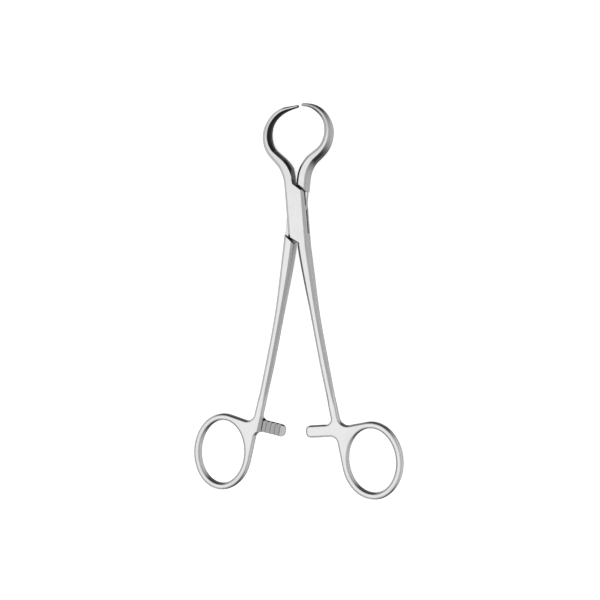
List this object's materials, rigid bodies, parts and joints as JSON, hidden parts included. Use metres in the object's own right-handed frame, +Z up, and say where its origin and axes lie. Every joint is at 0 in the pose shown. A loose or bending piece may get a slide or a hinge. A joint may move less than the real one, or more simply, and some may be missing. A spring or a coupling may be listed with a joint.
{
  "type": "bone clamp",
  "caption": "Ring-handled bone clamp lying flat: curved jaws that close tip to tip round a bone, a box lock, slim bowed shanks, oval finger rings and a toothed ratchet between them.",
  "frame": {"origin": "on the axis of the lock pin, at the rear face of the box lock, on which the clamp lies", "axes": "the clamp lies flat: +Z up along the pin, +Y from the finger rings towards the jaws, +X to the right seen from above"},
  "size_m": [0.0988, 0.176, 0.007],
  "materials": {
    "steel": "satin ground stainless steel",
    "pin_steel": "satin ground stainless steel, flush with the box"
  },
  "bodies": {
    "box_body": {"box_half": "steel", "lock_pin": "pin_steel"},
    "tongue_body": {"tongue_half": "steel"}
  },
  "joints": [
    {"name": "lock_hinge", "type": "hinge", "parent": "box_body", "child": "tongue_body", "pos_m": [0, 0, 0.0035], "axis": [0, 0, 1], "range_deg": [-60, 1.2]}
  ]
}
